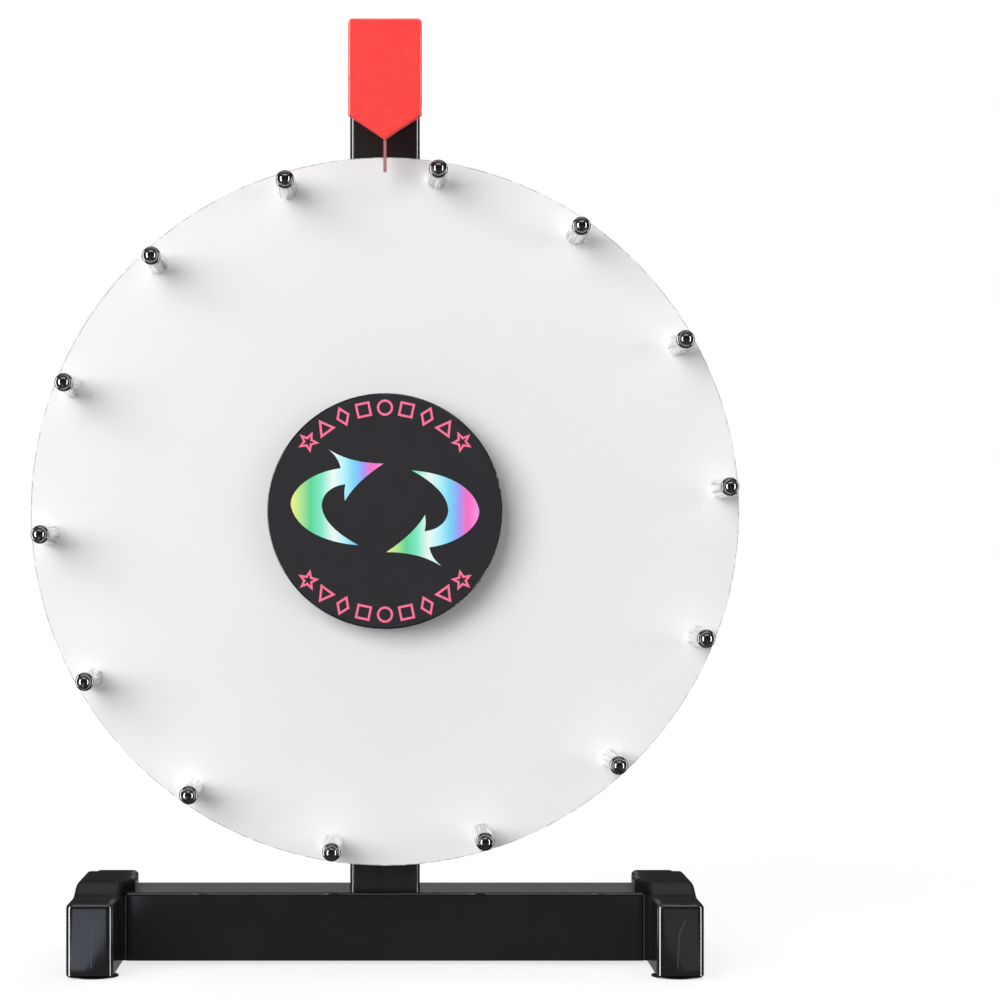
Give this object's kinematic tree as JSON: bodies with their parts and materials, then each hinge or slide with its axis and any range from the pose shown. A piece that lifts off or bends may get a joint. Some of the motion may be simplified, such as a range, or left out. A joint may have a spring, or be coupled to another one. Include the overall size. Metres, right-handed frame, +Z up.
{
  "type": "game spinner wheel",
  "caption": "Tabletop prize wheel: a white dry-erase disc with rim pegs turns on a post and base, under a red pointer with a flexible flapper.",
  "frame": {"origin": "centre of the base's footprint, on the table", "axes": "+Z up along the post, -Y towards the players, +X to the right as the players see it; the wheel turns about Y"},
  "size_m": [0.3048, 0.13, 0.403],
  "materials": {
    "black_moulding": "glossy black injection moulding",
    "black_post": "glossy black tube",
    "black_gloss": "glossy black dome",
    "black_rubber": "soft black rubber",
    "red_moulding": "glossy coral red moulding",
    "red_strip": "red flexible strip",
    "white_nylon": "natural nylon",
    "zinc_steel": "bright zinc plate",
    "black_steel": "black oxide",
    "bearing_steel": "ground bearing steel",
    "cage_brass": "pressed brass",
    "bright_metal": "polished bright metal",
    "foam_board": "white rigid foam board",
    "dry_erase_white": "satin white dry-erase laminate",
    "label_black": "matt black printed vinyl"
  },
  "bodies": {
    "stand": {"suction_cup_front_left": "black_rubber", "suction_cup_front_right": "black_rubber", "suction_cup_rear_left": "black_rubber", "suction_cup_rear_right": "black_rubber", "base_shell": "black_moulding", "post": "black_post", "post_cap": "black_moulding", "post_foot_plug": "black_moulding", "base_bolts": "zinc_steel", "pointer_housing": "red_moulding", "pointer_bracket": "zinc_steel", "pointer_bolts": "black_steel", "flapper_pin": "zinc_steel", "pin_clip": "zinc_steel", "flapper_spacers": "white_nylon", "axle_bolt": "zinc_steel", "axle_washer": "zinc_steel", "axle_spacer": "zinc_steel", "race_spacer": "zinc_steel", "axle_nut": "zinc_steel", "front_inner_race": "bearing_steel", "rear_inner_race": "bearing_steel"},
    "wheel": {"disc_board": "foam_board", "disc_face": "dry_erase_white", "hub_body": "black_moulding", "hub_rear_flange": "black_moulding", "hub_screws": "zinc_steel", "hub_cap": "black_moulding", "hub_label": "label_black", "front_outer_race": "bearing_steel", "rear_outer_race": "bearing_steel", "bearing_shields": "black_steel", "peg_tips": "black_gloss", "peg_screws": "black_steel", "peg_01": "bright_metal", "peg_02": "bright_metal", "peg_03": "bright_metal", "peg_04": "bright_metal", "peg_05": "bright_metal", "peg_06": "bright_metal", "peg_07": "bright_metal", "peg_08": "bright_metal", "peg_09": "bright_metal", "peg_10": "bright_metal", "peg_11": "bright_metal", "peg_12": "bright_metal", "peg_13": "bright_metal", "peg_14": "bright_metal"},
    "front_cage_set": {"front_cage": "cage_brass", "front_balls": "bearing_steel"},
    "rear_cage_set": {"rear_cage": "cage_brass", "rear_balls": "bearing_steel"},
    "flapper": {"flapper_blade": "red_strip"}
  },
  "joints": [
    {"name": "wheel_spin", "type": "hinge", "parent": "stand", "child": "wheel", "pos_m": [0, 0, 0.1957], "axis": [0, -1, 0], "continuous": true},
    {"name": "front_cage_spin", "type": "hinge", "parent": "stand", "child": "front_cage_set", "pos_m": [0, 0, 0.1957], "axis": [0, -1, 0], "continuous": true},
    {"name": "rear_cage_spin", "type": "hinge", "parent": "stand", "child": "rear_cage_set", "pos_m": [0, 0, 0.1957], "axis": [0, -1, 0], "continuous": true},
    {"name": "flapper_flex", "type": "hinge", "parent": "stand", "child": "flapper", "pos_m": [0, -0.0444, 0.381], "axis": [0, 1, 0], "range_deg": [-28, 28], "stiffness_Nm_per_rad": 0.09}
  ],
  "couplings": [
    {"joint": "front_cage_spin", "follows": "wheel_spin", "ratio": 0.62974},
    {"joint": "rear_cage_spin", "follows": "wheel_spin", "ratio": 0.62974}
  ]
}
